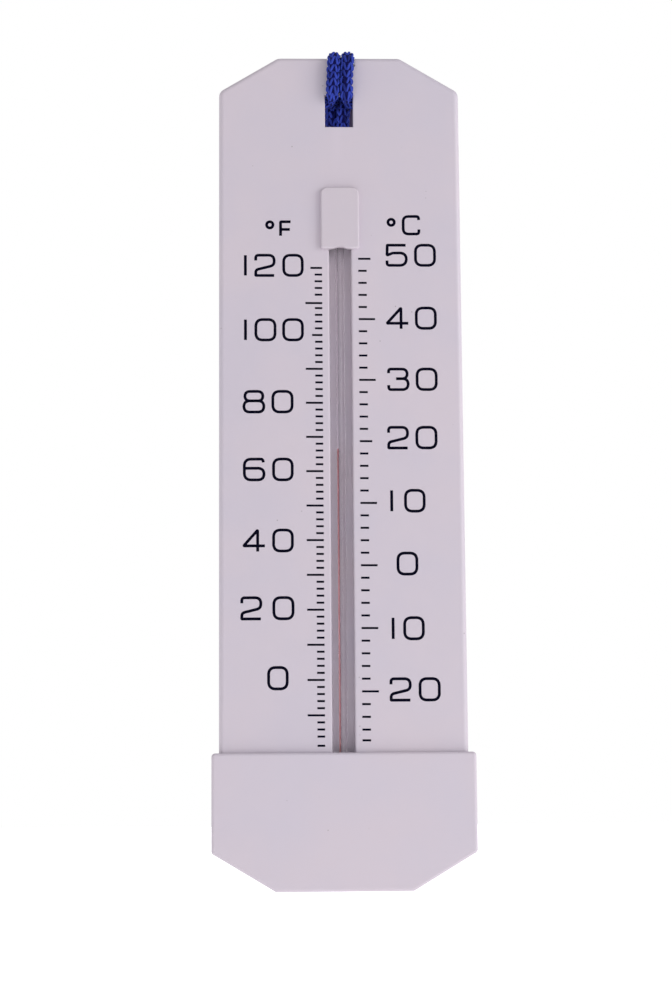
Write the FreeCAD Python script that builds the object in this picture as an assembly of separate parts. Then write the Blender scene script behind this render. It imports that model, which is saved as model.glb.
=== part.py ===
import FreeCAD, Part
import math
import os

# A garden wall thermometer: a hollow-backed scale plate, a cover over the bulb, a glass spirit tube and a
# hanging cord. Millimetres. +Z is up, the scale faces -Y, and the back rim lies on the plane y = 0.
# The origin is the middle of the hang slot's top edge, on that plane.

# Overall, from the plate's top edge to the cover's foot
overall_height = 250.2

# Scale plate
plate_width = 72.8
plate_top = 11.8
plate_depth = 10.0
front_wall = 2.0
rim_wall = 1.8
foot_gap = 0.9
corner_run = 17.9
corner_rise = 10.7
corner_radius = 2.4
edge_radius = 1.5
slot_lip = 0.3

# Hang slot and the cord's rest in the top edge
slot_width = 8.5
slot_height = 10.1
rest_width = 8.45
rest_depth = 3.0
rest_shift = 0.775

# Groove for the tube
groove_width = 6.65
groove_lip = 0.55
channel_wall = 1.0
channel_floor = 1.4
join_depth = 0.5

# Bulb window behind the cover, above the plate's foot
window_rise = 6.6
window_height = 22.8
window_gap = 1.5

# Cross ribs in the hollow back: rise above the cover's top edge, and the upper one's room under the cord
lower_rib_rise = 14.6
upper_rib_rise = 66.6
rib_cord_room = 14.0
rib_thickness = 1.2
rib_height = 2.6

# Glass tube: it lies against the groove's left side
tube_diameter = 4.5
tube_below_clip_top = 7.3
tube_side_gap = 0.1
tube_floor_gap = 0.12
tube_sink = 0.38
bore_diameter = 0.7
bulb_diameter = 5.4
bulb_length = 18.2
bulb_foot_gap = 2.4
bulb_wall = 0.7
neck_rise = 1.2
shoulder_drop = 1.4
chamber_diameter = 2.2
chamber_length = 4.6
chamber_shoulder = 0.8
chamber_taper = 1.2
bore_foot = 0.6
end_glass = 2.2
# The glass's rounded ends, in parts of the radius there: (out from the axis, in from the end)
tube_end_round = ((0.55, 0.16), (0.88, 0.5), (1.0, 1.0))
bulb_end_round = ((1.0, 0.8), (0.82, 0.3), (0.45, 0.06))
bulb_hollow_round = ((1.0, 0.8), (0.8, 0.28))

# Spirit
column_clearance = 0.05
spirit_clearance = 0.04
zero_above_cover = 54.85
degree_length = 1.853
rest_celsius = 18.9
meniscus_height = 0.8
meniscus_dip = 0.35
column_overlap = 0.9

# Tube clip
clip_lip = 0.5
clip_height = 19.0
clip_top = -29.3
clip_thickness = 1.5
clip_corner = 2.1
clip_foot_corner = 0.9
clip_edge = 0.55
arch_width = 4.4
arch_rise = 0.5
leg_width = 4.0
leg_thickness = 0.85
leg_barb = 0.55
leg_nose = 0.9
barb_gap = 0.15
leg_drop = 8.1
leg_clearance = 0.12
pad_pocket = 0.6
pad_length = 10.2
pad_clearance = 0.15

# Bulb cover
cover_height = 39.8
cover_side_gap = 0.2
cover_bulb_gap = 0.23
cover_wall = 1.9
cover_corner_run = 18.6
cover_corner_rise = 11.1
cover_edge = 0.9
cover_corner_radius = 1.1
cover_back_step = 0.4
nub_width = 6.0
nub_height = 3.0
nub_depth = 1.1
nub_drop = 13.4
nub_back = 3.5
nub_clearance = 0.25
vent_width = 2.0
vent_depth = 5.0
vent_inset = 1.2
vent_count = 5
vent_pitch = 6.0

# Pad on the tube's neck, under the cover
neck_pad_length = 4.6
neck_pad_drop = 2.0

# Hanging cord: one braided cord, its two ends tied together in a knot behind the plate
cord_diameter = 3.8
knot_width = 11.4
knot_depth = 7.2
knot_length = 12.0
knot_edge = 1.4
tail_length = 8.0
tail_root = 1.5
tail_spread = 0.4
tail_lean = 1.4
tail_ease = 0.1

# The cord's route, from the knot, up behind the plate, over the top edge, down the front, in through the
# slot, round behind both hanging strands and back the same way to the knot.
cord_route = [
    (13.25, -3.9, -96.0),
    (13.25, -3.9, -84.0),
    (13.9, -3.8, -62.0),
    (13.2, -3.7, -40.0),
    (7.8, -3.9, -22.0),
    (1.75, -3.9, -9.6),
    (1.8, -2.1, -1.1),
    (2.3, -6.1, 4.4),
    (2.85, -6.0, 12.0),
    (2.85, -12.0, 12.0),
    (2.4, -12.0, 4.0),
    (2.2, -12.0, -2.5),
    (2.2, -5.92, -2.7),
    (7.2, -5.9, -0.8),
    (7.0, -3.9, 4.6),
    (3.2, -1.98, 7.4),
    (-3.2, -1.98, 7.4),
    (-7.0, -3.9, 4.6),
    (-7.2, -5.9, -0.8),
    (-2.2, -5.92, -2.7),
    (-2.2, -12.0, -2.5),
    (-1.9, -12.0, 4.0),
    (-1.3, -12.0, 12.0),
    (-1.3, -6.0, 12.0),
    (-1.7, -6.1, 4.4),
    (-2.05, -2.1, -1.1),
    (-1.95, -2.1, -9.6),
    (3.4, -3.0, -22.0),
    (8.4, -3.7, -40.0),
    (9.5, -3.8, -62.0),
    (9.15, -3.9, -84.0),
    (9.15, -3.9, -96.0),
]

# Worked out from the sizes above
half_plate = plate_width / 2
plate_front = -plate_depth
wall_back = plate_front + front_wall
cover_bottom = plate_top - overall_height
cover_top = cover_bottom + cover_height
plate_bottom = cover_bottom + cover_wall + foot_gap
clip_bottom = clip_top - clip_height
clip_front = plate_front - clip_thickness
tube_top = clip_top - tube_below_clip_top
tube_front = plate_front + tube_sink
tube_y = tube_front + tube_diameter / 2
tube_x = -groove_width / 2 + tube_side_gap + tube_diameter / 2
groove_floor = tube_y + tube_diameter / 2 + tube_floor_gap
groove_top = tube_top + end_glass
half_channel = groove_width / 2 + channel_wall
channel_back = groove_floor + channel_floor
window_bottom = plate_bottom + window_rise
window_top = window_bottom + window_height
half_window = abs(tube_x) + bulb_diameter / 2 + window_gap
bulb_bottom = window_bottom + bulb_foot_gap
bulb_top = bulb_bottom + bulb_length
bulb_front = tube_y - bulb_diameter / 2
cover_inside = min(plate_front, bulb_front) - cover_bulb_gap
cover_front = cover_inside - cover_wall
half_cover = half_plate + cover_side_gap + cover_wall
chamber_top = tube_top - end_glass
column_bottom = bulb_top - column_overlap
column_radius = bore_diameter / 2 - column_clearance
zero_celsius = cover_top + zero_above_cover
level_top = zero_celsius + rest_celsius * degree_length
leg_inner = half_channel + leg_clearance
leg_outer = leg_inner + leg_thickness
leg_top = clip_top - leg_drop
leg_end = wall_back + leg_barb + leg_nose
half_clip = leg_outer + clip_lip
arch_radius = (arch_width**2 / 4 + arch_rise**2) / (2 * arch_rise)
pad_top = tube_top - 2 * pad_clearance
half_pad = tube_diameter / 2
nub_level = cover_top - nub_drop
cord_foot = cord_route[0][2] - knot_length - tail_length
rib_levels = (cover_top + lower_rib_rise, min(cover_top + upper_rib_rise, cord_foot - rib_cord_room))


def point(x, y, z):
    return FreeCAD.Vector(x, y, z)


def block(low, high):
    """A box from its low corner to its high corner."""
    size = [b - a for a, b in zip(low, high)]
    return Part.makeBox(size[0], size[1], size[2], point(*low))


def turned(profile, x, y):
    """A closed (radius, z) outline turned about the vertical line through x, y."""
    points = [point(x + r, y, z) for r, z in profile]
    face = Part.Face(Part.makePolygon(points + points[:1]))
    return face.revolve(point(x, y, 0), point(0, 0, 1), 360)


def upright_edges(shape):
    """The edges that run along Y."""
    found = []
    for edge in shape.Edges:
        start, end = edge.Vertexes[0].Point, edge.Vertexes[-1].Point
        if abs(start.x - end.x) < 0.001 and abs(start.z - end.z) < 0.001:
            found.append(edge)
    return found


def edges_at(shape, y, keep=lambda edge: True):
    """The edges that lie wholly on one plane across Y."""
    box = [(edge, edge.BoundBox) for edge in shape.Edges]
    return [e for e, b in box if abs(b.YMin - y) < 0.01 and abs(b.YMax - y) < 0.01 and keep(e)]


def prism(outline, y_low, y_high, radius):
    """An outline of (x, z) points carried from y_low to y_high, with its corners rounded."""
    points = [point(x, y_low, z) for x, z in outline]
    face = Part.Face(Part.makePolygon(points + points[:1]))
    solid = face.extrude(point(0, y_high - y_low, 0))
    return solid.makeFillet(radius, upright_edges(solid)) if radius > 0 else solid


def coffin(half, top, bottom, top_cut, bottom_cut):
    """A tall outline with its corners cut off: each cut is (along x, along z)."""
    return [
        (half, bottom + bottom_cut[1]),
        (half, top - top_cut[1]),
        (half - top_cut[0], top),
        (-half + top_cut[0], top),
        (-half, top - top_cut[1]),
        (-half, bottom + bottom_cut[1]),
        (-half + bottom_cut[0], bottom),
        (half - bottom_cut[0], bottom),
    ]


def inset(outline, by):
    """A convex outline moved inwards by the same distance on every side."""
    count = len(outline)
    area = sum(
        outline[i][0] * outline[(i + 1) % count][1] - outline[(i + 1) % count][0] * outline[i][1]
        for i in range(count)
    )
    turn = 1 if area > 0 else -1
    lines = []
    for i in range(count):
        (x0, z0), (x1, z1) = outline[i], outline[(i + 1) % count]
        length = math.hypot(x1 - x0, z1 - z0)
        normal = (-(z1 - z0) / length * turn, (x1 - x0) / length * turn)
        lines.append(((x0 + normal[0] * by, z0 + normal[1] * by), (x1 - x0, z1 - z0)))
    moved = []
    for i in range(count):
        (p, d), (q, e) = lines[i - 1], lines[i]
        cross = d[0] * e[1] - d[1] * e[0]
        along = ((q[0] - p[0]) * e[1] - (q[1] - p[1]) * e[0]) / cross
        moved.append((p[0] + along * d[0], p[1] + along * d[1]))
    return moved


def plate_outline():
    top_cut = (corner_run, corner_rise)
    bottom_cut = (cover_corner_run, cover_corner_rise)
    return coffin(half_plate, plate_top, plate_bottom, top_cut, bottom_cut)


def leg_box(side, gap):
    """The space of one snap leg of the clip, on the side given as 1 or -1, with a gap all round."""
    low_x, high_x = sorted((side * (leg_inner - gap), side * (leg_outer + gap)))
    low = (low_x, clip_front + clip_edge, leg_top - leg_width - gap)
    return block(low, (high_x, leg_end, leg_top + gap))


def nub_boxes(gap):
    """The cover's two snap nubs, which stand in windows in the plate's rim, with a gap all round."""
    made = []
    root = half_plate + cover_side_gap
    half_z = nub_width / 2 + gap
    half_y = nub_height / 2 + gap
    for side in (-1, 1):
        low_x, high_x = sorted((side * (root - nub_depth - gap), side * (root + cover_wall / 2)))
        low = (low_x, -nub_back - half_y, nub_level - half_z)
        made.append(block(low, (high_x, -nub_back + half_y, nub_level + half_z)))
    return made


def scale_plate():
    outline = plate_outline()
    solid = prism(outline, plate_front, 0, corner_radius)
    solid = solid.makeFillet(edge_radius, edges_at(solid, plate_front))
    inner_radius = max(corner_radius - rim_wall, join_depth)
    solid = solid.cut(prism(inset(outline, rim_wall), wall_back, 1.0, inner_radius))
    # the channel behind the groove, down to the plate's foot
    channel = block((-half_channel, wall_back - join_depth, plate_bottom + rim_wall / 2),
                    (half_channel, channel_back, groove_top + channel_wall))
    solid = solid.fuse(channel)
    for level in rib_levels:
        for side in (-1, 1):
            low_x, high_x = sorted((side * (half_channel - join_depth), side * (half_plate - rim_wall / 2)))
            low = (low_x, wall_back - join_depth, level)
            rib = block(low, (high_x, wall_back + rib_height, level + rib_thickness))
            solid = solid.fuse(rib)
    half_groove = groove_width / 2
    groove = block((-half_groove, plate_front - 1, window_bottom), (half_groove, groove_floor, groove_top))
    window = block((-half_window, plate_front - 1, window_bottom), (half_window, 1, window_top))
    slot = block((-slot_width / 2, plate_front - 1, -slot_height), (slot_width / 2, 1, 0))
    rest_low = rest_shift - rest_width / 2
    rest = block((rest_low, plate_front - 1, plate_top - rest_depth),
                 (rest_low + rest_width, 1, plate_top + 1))
    solid = solid.cut([groove, window, slot, rest])
    # the lips of the slot and of the groove are eased where they meet the face
    solid = solid.makeFillet(slot_lip, edges_at(solid, plate_front, is_slot_lip))
    solid = solid.makeFillet(groove_lip, edges_at(solid, plate_front, is_groove_lip))
    solid = solid.cut([leg_box(side, leg_clearance) for side in (-1, 1)])
    solid = solid.cut(nub_boxes(nub_clearance))
    return solid.removeSplitter()


def is_slot_lip(edge):
    """True for the slot's four front edges."""
    box = edge.BoundBox
    return abs(box.XMin) < slot_width / 2 + 0.01 and -slot_height - 0.01 < box.ZMin and box.ZMax < 0.01


def is_groove_lip(edge):
    """True for the groove's two long front edges and its upper end."""
    box = edge.BoundBox
    return abs(box.XMin) < groove_width / 2 + 0.01 and window_top < box.ZMax < groove_top + 0.01


def tube_clip():
    outline = [
        (-half_clip, clip_bottom),
        (half_clip, clip_bottom),
        (half_clip, clip_top),
        (-half_clip, clip_top),
    ]
    solid = prism(outline, clip_front, plate_front, 0)
    top_corners = [e for e in upright_edges(solid) if e.Vertexes[0].Z > clip_top - 0.01]
    solid = solid.makeFillet(clip_corner, top_corners)
    foot_corners = [e for e in upright_edges(solid) if e.Vertexes[0].Z < clip_bottom + 0.01]
    solid = solid.makeFillet(clip_foot_corner, foot_corners)
    solid = solid.makeFillet(clip_edge, edges_at(solid, clip_front))
    # a shallow arch in the lower edge, over the groove
    arch_centre = point(0, clip_front - 1, clip_bottom + arch_rise - arch_radius)
    arch = Part.makeCylinder(arch_radius, clip_thickness + 2, arch_centre, point(0, 1, 0))
    pocket = block((tube_x - half_pad, plate_front - pad_pocket, pad_top - pad_length),
                   (tube_x + half_pad, plate_front + 1, pad_top))
    solid = solid.cut([arch, pocket])
    for side in (-1, 1):
        low_x, high_x = sorted((side * leg_inner, side * leg_outer))
        leg = block((low_x, clip_front + clip_edge, leg_top - leg_width), (high_x, leg_end, leg_top))
        # a barb that catches behind the face's wall
        barb_y = wall_back + barb_gap
        root_x = side * (leg_outer - leg_thickness / 4)
        barb_points = [
            point(root_x, barb_y, leg_top - leg_width),
            point(side * (leg_outer + leg_barb), barb_y, leg_top - leg_width),
            point(root_x, leg_end, leg_top - leg_width),
        ]
        barb = Part.Face(Part.makePolygon(barb_points + barb_points[:1])).extrude(point(0, 0, leg_width))
        solid = solid.fuse([leg, barb])
    return solid.removeSplitter()


def clip_pad():
    half = half_pad - pad_clearance
    low = (tube_x - half, plate_front - pad_pocket, pad_top - pad_length + pad_clearance)
    return block(low, (tube_x + half, tube_front, pad_top - pad_clearance))


def neck_pad():
    half = half_pad - pad_clearance
    top = cover_top - neck_pad_drop
    return block((tube_x - half, cover_inside, top - neck_pad_length), (tube_x + half, tube_front, top))


def glass_tube():
    r = tube_diameter / 2
    b = bulb_diameter / 2
    outer = [(0, tube_top)]
    outer += [(r * out, tube_top - r * down) for out, down in tube_end_round]
    outer += [(r, bulb_top + neck_rise), (b, bulb_top - shoulder_drop)]
    outer += [(b * out, bulb_bottom + b * up) for out, up in bulb_end_round]
    outer += [(0, bulb_bottom)]
    chamber_foot = chamber_top - chamber_length
    inside = [
        (0, chamber_top),
        (chamber_diameter / 2, chamber_top - chamber_shoulder),
        (chamber_diameter / 2, chamber_foot + chamber_taper),
        (bore_diameter / 2, chamber_foot),
        (bore_diameter / 2, bulb_top - bore_foot),
    ] + bulb_inside(0)
    return turned(outer, tube_x, tube_y).cut(turned(inside, tube_x, tube_y))


def bulb_inside(gap):
    """The lower part of the bulb's hollow as (radius, z), ending on the axis."""
    b = bulb_diameter / 2 - bulb_wall - gap
    low = bulb_bottom + bulb_wall + gap
    shoulder = bulb_top - shoulder_drop - chamber_taper - gap
    return [(b, shoulder)] + [(b * out, low + b * up) for out, up in bulb_hollow_round] + [(0, low)]


def bulb_spirit():
    profile = [(0, column_bottom), (column_radius, column_bottom)] + bulb_inside(spirit_clearance)
    return turned(profile, tube_x, tube_y)


def spirit_column():
    height = level_top - meniscus_height - column_bottom
    return Part.makeCylinder(column_radius, height, point(tube_x, tube_y, column_bottom))


def spirit_meniscus():
    r = column_radius
    low = level_top - meniscus_height
    profile = [(0, low), (r, low), (r, level_top), (0, level_top - r * meniscus_dip)]
    return turned(profile, tube_x, tube_y)


def bulb_cover():
    cut = (cover_corner_run, cover_corner_rise)
    outline = [
        (half_cover, cover_top),
        (-half_cover, cover_top),
        (-half_cover, cover_bottom + cut[1]),
        (-half_cover + cut[0], cover_bottom),
        (half_cover - cut[0], cover_bottom),
        (half_cover, cover_bottom + cut[1]),
    ]
    solid = prism(outline, cover_front, -cover_back_step, cover_corner_radius)
    solid = solid.makeFillet(cover_edge, edges_at(solid, cover_front))
    # the space for the plate's foot, open at the top and at the back
    hollow = inset(outline, cover_wall)
    hollow[0] = (hollow[0][0], cover_top + 5)
    hollow[1] = (hollow[1][0], cover_top + 5)
    solid = solid.cut(prism(hollow, cover_inside, 1.0, 0))
    solid = solid.fuse(nub_boxes(0))
    first = -(vent_count - 1) / 2 * vent_pitch
    for i in range(vent_count):
        x = first + i * vent_pitch
        y = cover_inside + vent_inset
        vent = block((x - vent_width / 2, y, cover_bottom - 1),
                     (x + vent_width / 2, y + vent_depth, cover_bottom + cover_wall + 1))
        solid = solid.cut(vent)
    return solid.removeSplitter()


def cord_wire():
    """The route's runs as straight edges, joined by arcs that touch both runs."""
    route = [point(*p) for p in cord_route]
    edges = []
    radii = []
    here = route[0]
    for i in range(1, len(route) - 1):
        before, corner, after = route[i - 1], route[i], route[i + 1]
        back = before - corner
        ahead = after - corner
        shorter = min(back.Length, ahead.Length)
        trim = 0.45 * shorter
        half_turn = (math.pi - back.getAngle(ahead)) / 2
        radii.append(trim / math.tan(half_turn))
        start = corner + back.normalize() * trim
        end = corner + ahead.normalize() * trim
        middle_way = (back + ahead).normalize()
        centre = corner + middle_way * (radii[-1] / math.cos(half_turn))
        top = centre - middle_way * radii[-1]
        edges.append(Part.LineSegment(here, start).toShape())
        edges.append(Part.Arc(start, top, end).toShape())
        here = end
    edges.append(Part.LineSegment(here, route[-1]).toShape())
    print("cord radii:", " ".join(f"{r:.1f}" for r in radii))
    return Part.Wire(edges)


def hang_cord():
    path = cord_wire()
    start = point(*cord_route[0])
    along = point(*cord_route[1]) - start
    ring = Part.Wire(Part.makeCircle(cord_diameter / 2, start, along))
    solid = path.makePipeShell([ring], True, False)
    expected = math.pi * (cord_diameter / 2) ** 2 * path.Length
    print(f"cord length {path.Length:.1f}, volume {solid.Volume:.1f}, section x length {expected:.1f}")
    return solid


def cord_knot():
    (x1, y1, z1), (x2, _, _) = cord_route[0], cord_route[-1]
    middle = (x1 + x2) / 2
    low = (middle - knot_width / 2, y1 - knot_depth / 2, z1 - knot_length)
    solid = block(low, (middle + knot_width / 2, y1 + knot_depth / 2, z1))
    solid = solid.makeFillet(knot_edge, solid.Edges)
    for x, side in ((x2, -1), (x1, 1)):
        start = point(x + side * tail_spread, y1, z1 - knot_length + tail_root)
        along = point(side * tail_lean, 0, -tail_length)
        tail = Part.makeCylinder(cord_diameter / 2 - tail_ease, tail_length + tail_root, start, along)
        solid = solid.fuse(tail)
    return solid.removeSplitter()


def main():
    os.makedirs("parts", exist_ok=True)
    makers = (
        scale_plate,
        bulb_cover,
        tube_clip,
        clip_pad,
        neck_pad,
        glass_tube,
        bulb_spirit,
        spirit_column,
        spirit_meniscus,
        hang_cord,
        cord_knot,
    )
    for make in makers:
        shape = make()
        solids = shape.Solids
        print(f"{make.__name__}: {len(solids)} solid, valid {shape.isValid()}, {shape.Volume:.2f} mm3")
        shape = solids[0] if len(solids) == 1 else Part.makeCompound(solids)
        shape.exportStep(f"parts/{make.__name__}.step")


main()
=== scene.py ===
import bpy
import math
import numpy as np
from mathutils import Matrix, Vector


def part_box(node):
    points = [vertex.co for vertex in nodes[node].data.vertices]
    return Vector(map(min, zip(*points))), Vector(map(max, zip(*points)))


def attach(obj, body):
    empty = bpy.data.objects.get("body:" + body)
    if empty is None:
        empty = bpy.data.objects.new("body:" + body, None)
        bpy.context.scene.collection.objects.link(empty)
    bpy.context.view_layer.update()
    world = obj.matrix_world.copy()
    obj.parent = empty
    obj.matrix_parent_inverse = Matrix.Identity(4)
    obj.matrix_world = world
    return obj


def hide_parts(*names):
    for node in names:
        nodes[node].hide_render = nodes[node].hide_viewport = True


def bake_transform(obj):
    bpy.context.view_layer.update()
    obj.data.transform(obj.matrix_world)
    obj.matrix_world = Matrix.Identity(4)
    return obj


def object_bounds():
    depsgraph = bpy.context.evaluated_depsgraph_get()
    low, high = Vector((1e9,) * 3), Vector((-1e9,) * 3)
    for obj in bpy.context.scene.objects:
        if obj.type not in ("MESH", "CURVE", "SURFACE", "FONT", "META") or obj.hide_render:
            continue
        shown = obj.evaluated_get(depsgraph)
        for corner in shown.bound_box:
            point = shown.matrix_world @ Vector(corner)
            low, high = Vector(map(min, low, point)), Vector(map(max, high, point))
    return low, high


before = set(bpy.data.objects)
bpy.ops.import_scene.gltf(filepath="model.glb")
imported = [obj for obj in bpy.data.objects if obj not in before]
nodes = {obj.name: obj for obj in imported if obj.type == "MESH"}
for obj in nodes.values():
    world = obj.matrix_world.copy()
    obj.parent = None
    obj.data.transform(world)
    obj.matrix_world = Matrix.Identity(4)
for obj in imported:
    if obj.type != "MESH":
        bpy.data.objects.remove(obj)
cadBox = [list(map(float, corner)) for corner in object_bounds()]
scene = bpy.context.scene
mm = 0.001
print("frame loaded:", len(nodes), "nodes")


# camera

cameraView = {
    "target": (-1.77, -10.0, -124.4),  # mm
    "distance": 600.0,
    "pitch": -7.66,  # degrees, below the target and looking up
    "yaw": -1.71,
    "roll": -0.43,
    "lens": 72.97,
}


def placeCamera(view):
    pitch, yaw, roll = (math.radians(view[k]) for k in ("pitch", "yaw", "roll"))
    away = Vector((math.sin(yaw) * math.cos(pitch), -math.cos(yaw) * math.cos(pitch), math.sin(pitch)))
    right = Vector((math.cos(yaw), math.sin(yaw), 0))
    up = right.cross(-away)
    side = math.cos(roll) * right + math.sin(roll) * up
    top = math.cos(roll) * up - math.sin(roll) * right
    bpy.ops.object.camera_add()
    camera = bpy.context.object
    camera.name = "frontCamera"
    turn = Matrix((side, top, away)).transposed().to_4x4()
    place = (Vector(view["target"]) + away * view["distance"]) * mm
    camera.matrix_world = Matrix.Translation(place) @ turn
    camera.data.lens = view["lens"]
    camera.data.clip_start, camera.data.clip_end = 0.05, 20
    scene.camera = camera


placeCamera(cameraView)
scene.view_settings.view_transform = "Standard"
print("camera placed")


# small helpers

def deselectAll():
    if bpy.context.object and bpy.context.object.mode != "OBJECT":
        bpy.ops.object.mode_set(mode="OBJECT")
    bpy.ops.object.select_all(action="DESELECT")


def activate(obj):
    deselectAll()
    obj.select_set(True)
    bpy.context.view_layer.objects.active = obj


def bakePlace(obj):
    # the object goes back to the origin, with its place in its mesh
    activate(obj)
    bpy.ops.object.transform_apply(location=True, rotation=True, scale=True)


def meshPiece(name, points, faces, uvs=None, uvName="yarn"):
    # points in metres; uvs one pair for each face corner
    mesh = bpy.data.meshes.new(name)
    mesh.from_pydata([tuple(p) for p in points], [], faces)
    if uvs is not None:
        layer = mesh.uv_layers.new(name=uvName)
        layer.data.foreach_set("uv", np.asarray(uvs, np.float32).ravel())
    mesh.update()
    obj = bpy.data.objects.new(name, mesh)
    scene.collection.objects.link(obj)
    return obj


def shadeSmooth(obj):
    obj.data.polygons.foreach_set("use_smooth", [True] * len(obj.data.polygons))


def joinPieces(name, pieces):
    deselectAll()
    for piece in pieces:
        piece.select_set(True)
    bpy.context.view_layer.objects.active = pieces[0]
    bpy.ops.object.join()
    joined = bpy.context.object
    joined.name = name
    joined.data.name = name
    return joined


# hanging cord

cordStyle = {
    "diameter": 3.8,  # mm
    "proud": 0.2,  # how far the stitches stand out of that
    "flattened": (1.05, 0.9, 1.0),  # the cord's section lies a little flat against the plate
    "stitch": 2.15,  # length of one knitted stitch
    "wales": 5,  # columns of stitches round the cord
    "legLength": 1.18,  # in stitches
    "legReach": (0.46, 0.05),  # where a leg starts and ends across its wale
    "legWidth": 0.80,
    "legThickness": 0.62,
    "coreShare": 0.85,  # of the cord's thickness
    "coreSides": 16,
    "coreStep": 0.9,  # mm between the core's rings
    "sampleStep": 0.1,  # mm between the places that the line is read at
    "seed": 7,
    "uneven": (0.05, 0.04, 0.03),  # spread of a leg's width, place along and height in mm
    "legTone": (0.5, 0.16),  # middle and spread of the stitches' brightness
    # painted shade: the core's low tone colours it dark navy between the stitches
    "corePaintedShade": 0.12,
    "knotStrand": 3.0,  # thickness in the tight knot
}

# the cord's own points in millimetres: drawn tight under the slot's top edge, slack below it
cordRoute = [
    (13.25, -3.9, -96.0),
    (13.25, -3.9, -84.0),
    (13.9, -3.8, -62.0),
    (13.2, -3.7, -40.0),
    (7.8, -3.9, -22.0),
    (1.4, -5.6, -12.4),
    (1.2, -6.9, -6.6),
    (1.6, -4.6, -2.6),
    (1.8, -2.2, -0.4),
    (2.3, -6.0, 4.4),
    (2.8, -6.0, 11.75),
    (2.8, -12.0, 11.75),
    (2.1, -12.0, 3.6),
    (2.22, -11.9, -1.2),
    (2.5, -6.4, -1.5),
    (7.2, -5.9, -0.8),
    (7.0, -3.9, 4.6),
    (3.2, -1.98, 7.4),
    (-3.2, -1.98, 7.4),
    (-7.0, -3.9, 4.6),
    (-7.2, -5.9, -0.8),
    (-2.3, -6.4, -1.5),
    (-1.88, -11.9, -1.2),
    (-1.75, -12.0, 3.6),
    (-1.3, -12.0, 11.75),
    (-1.3, -6.0, 11.75),
    (-1.7, -6.0, 4.4),
    (-2.05, -2.2, -0.4),
    (-1.9, -3.4, -3.4),
    (-1.85, -4.6, -6.6),
    (-1.9, -4.0, -12.4),
    (3.0, -2.8, -22.0),
    (8.4, -3.7, -40.0),
    (9.5, -3.8, -62.0),
    (9.15, -3.9, -84.0),
    (9.15, -3.9, -96.0),
]

# the two ends in the knot: one takes a turn round both, the other goes through it
knotRoutes = [
    [
        (9.15, -3.9, -95.0), (9.2, -4.4, -98.2), (11.2, -6.0, -100.2), (14.6, -6.1, -101.6),
        (16.2, -4.2, -104.0), (14.0, -2.0, -106.6), (9.6, -1.9, -106.9), (6.6, -3.2, -104.6),
        (6.9, -5.6, -101.9), (9.6, -6.3, -103.4), (11.0, -5.4, -107.0), (9.4, -4.2, -110.6),
        (8.6, -3.9, -114.8),
    ],
    [
        (13.25, -3.9, -95.0), (13.2, -3.3, -98.4), (11.6, -2.4, -101.2), (10.6, -3.6, -104.4),
        (12.4, -4.6, -107.6), (13.6, -4.1, -111.0), (14.3, -3.9, -115.2),
    ],
]


def splineLine(route, name):
    # points along the smooth line of a route, in metres
    curve = bpy.data.curves.new(name, "CURVE")
    curve.dimensions = "3D"
    spline = curve.splines.new("NURBS")
    spline.points.add(len(route) - 1)
    for point, place in zip(spline.points, route):
        point.co = (place[0] * mm, place[1] * mm, place[2] * mm, 1)
    spline.order_u = 3
    spline.use_endpoint_u = True
    spline.resolution_u = 16
    holder = bpy.data.objects.new(name, curve)
    scene.collection.objects.link(holder)
    bpy.context.view_layer.update()
    mesh = bpy.data.meshes.new_from_object(holder)
    line = np.array([v.co for v in mesh.vertices])
    bpy.data.objects.remove(holder)
    bpy.data.curves.remove(curve)
    bpy.data.meshes.remove(mesh)
    return line


def evenLine(line, step):
    along = np.concatenate([[0], np.cumsum(np.linalg.norm(np.diff(line, axis=0), axis=1))])
    count = int(round(along[-1] / step)) + 1
    at = np.linspace(0, along[-1], count)
    return at, np.column_stack([np.interp(at, along, line[:, k]) for k in range(3)])


def carriedFrames(points, first):
    # a side vector carried along the line without twist, and the one square to it
    tangents = np.gradient(points, axis=0)
    tangents /= np.linalg.norm(tangents, axis=1)[:, None]
    sides = np.zeros_like(points)
    side = np.array(first, float)
    for i, tangent in enumerate(tangents):
        side = side - tangent * (side @ tangent)
        side /= np.linalg.norm(side)
        sides[i] = side
    return sides, np.cross(tangents, sides)


def stitchLeg(style):
    # one leg of a stitch: (across, along, out) in mm, its faces and its uv at each corner
    rings, around = 7, 6
    length = style["legLength"] * style["stitch"]
    wale = math.pi * style["diameter"] / style["wales"]
    points = []
    for i in range(rings):
        t = i / (rings - 1)
        start, end = style["legReach"]
        across = wale * (start + (end - start) * t ** 1.15)
        lean = math.atan2(wale * (end - start), length)
        swell = math.sin(math.pi * (0.14 + 0.72 * t)) ** 0.8
        half = style["legWidth"] / 2 * (0.45 + 0.55 * swell)
        thick = style["legThickness"] / 2 * (0.5 + 0.5 * swell)
        out = style["proud"] - style["legThickness"] / 2 - 0.5 * abs(2 * t - 1) ** 2.2
        for k in range(around):
            turn = 2 * math.pi * k / around
            u, h = math.cos(turn) * half, math.sin(turn) * thick
            points.append((across + u * math.cos(lean), t * length - u * math.sin(lean), out + h))
    faces, uvs = [], []
    for i in range(rings - 1):
        for k in range(around):
            n = (k + 1) % around
            faces.append((i * around + k, i * around + n, (i + 1) * around + n, (i + 1) * around + k))
            u0, u1, v0, v1 = k / around, (k + 1) / around, i / (rings - 1), (i + 1) / (rings - 1)
            uvs += [(u0, v0), (u1, v0), (u1, v1), (u0, v1)]
    low, high = tuple(range(around))[::-1], tuple(range((rings - 1) * around, rings * around))
    faces += [low, high]
    uvs += [(0.5, 0.02)] * around + [(0.5, 0.98)] * around
    return np.array(points), faces, uvs


def nearestIndex(points, spot):
    return int(np.argmin(np.linalg.norm(points - np.array(spot) * mm, axis=1)))


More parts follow.
